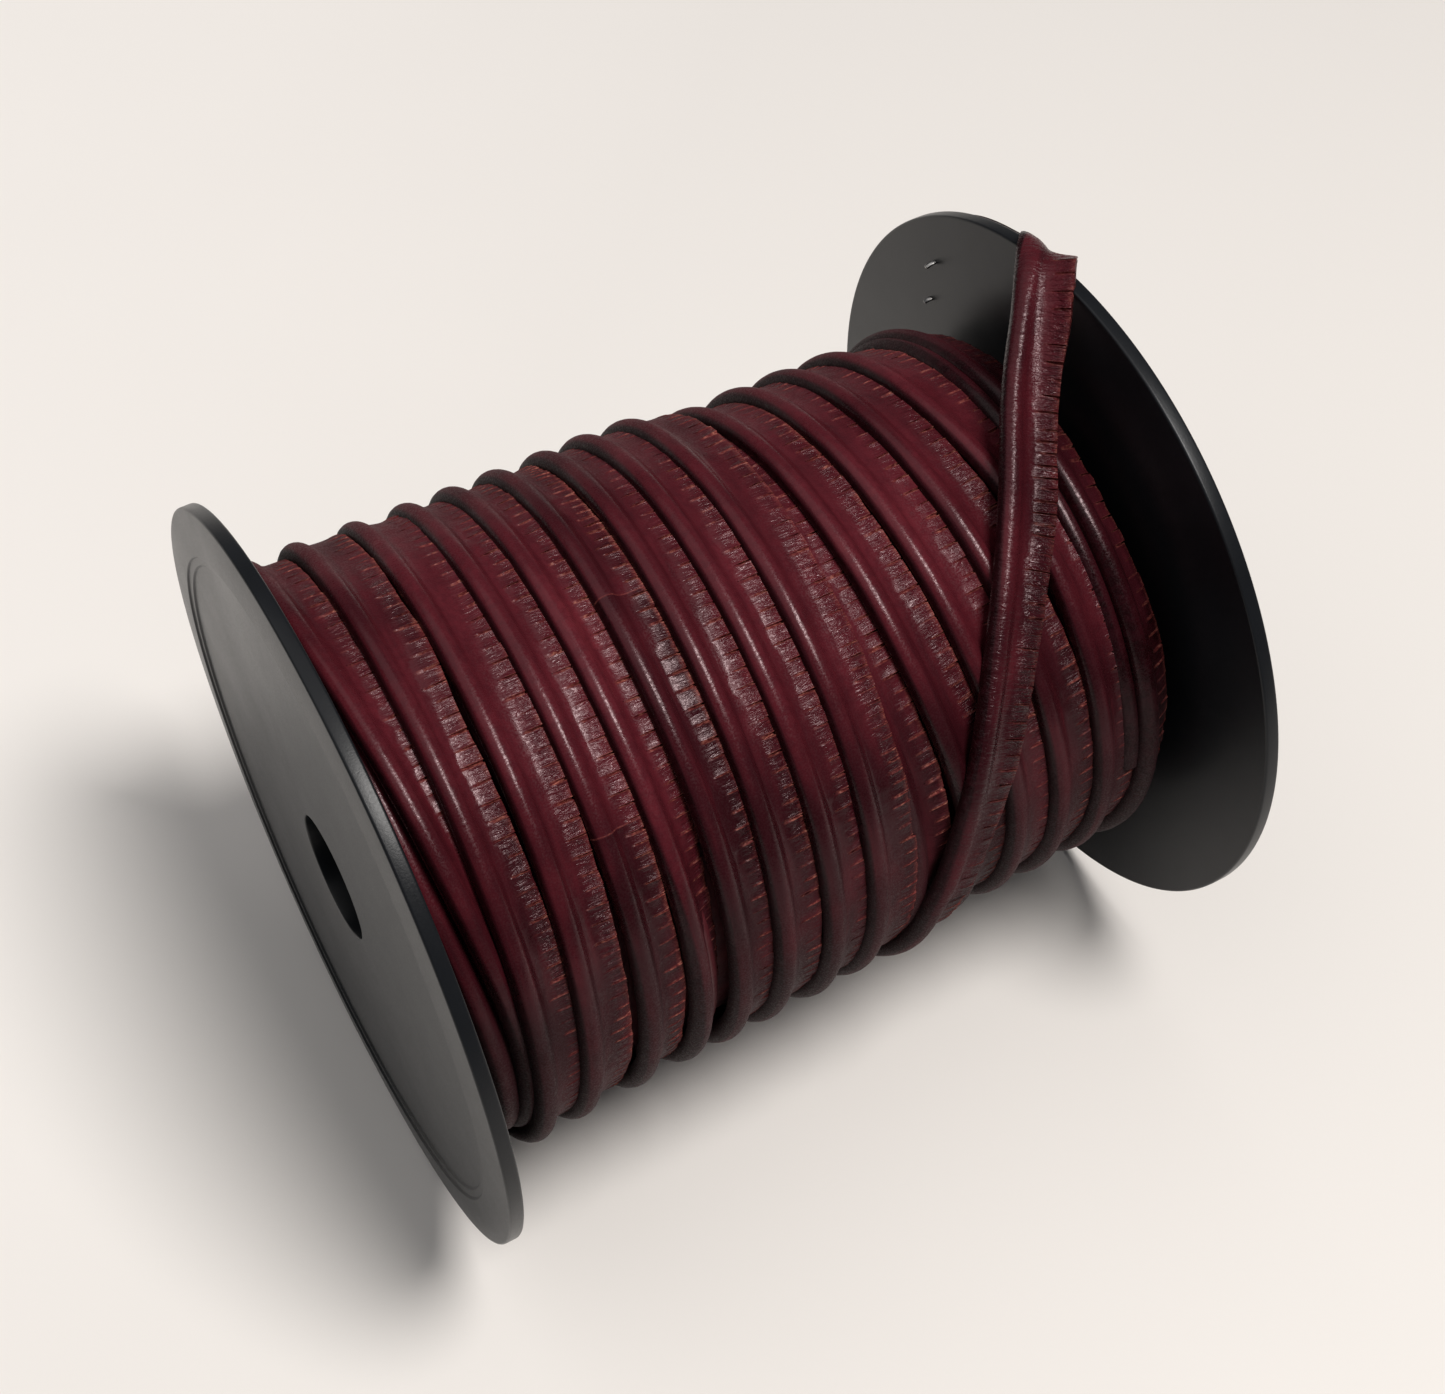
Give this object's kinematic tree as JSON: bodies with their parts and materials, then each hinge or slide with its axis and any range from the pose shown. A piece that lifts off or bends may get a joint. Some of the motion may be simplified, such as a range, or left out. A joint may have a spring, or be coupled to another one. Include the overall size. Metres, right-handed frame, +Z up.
{
  "type": "spool of leather piping",
  "caption": "Black plastic spool wound with burgundy leather piping, its free end stapled to one flange.",
  "frame": {"origin": "midway between the flanges, on the plane that both rims rest on, under the spool's axis", "axes": "+X along the spool's axis towards the flange with the stapled end; +Z up; -Y is the side where the free end crosses the winding"},
  "size_m": [0.1126, 0.0998, 0.104],
  "materials": {
    "black_plastic": "satin moulded plastic",
    "core_plastic": "satin extruded tube",
    "burgundy_leather": "waxed, satin, with raw edges",
    "filler_cotton": "twisted cotton cord",
    "staple_steel": "zinc-plated wire"
  },
  "bodies": {
    "root": {"left_flange": "black_plastic", "right_flange": "black_plastic", "core_tube": "core_plastic", "piping_layer_1": "burgundy_leather", "piping_layer_2": "burgundy_leather", "piping_layer_3": "burgundy_leather", "piping_layer_4": "burgundy_leather", "piping_layer_5": "burgundy_leather", "piping_layer_6": "burgundy_leather", "piping_layer_7": "burgundy_leather", "piping_layer_8": "burgundy_leather", "tail_leather": "burgundy_leather", "tail_filler_cord": "filler_cotton", "staple": "staple_steel"}
  },
  "joints": []
}
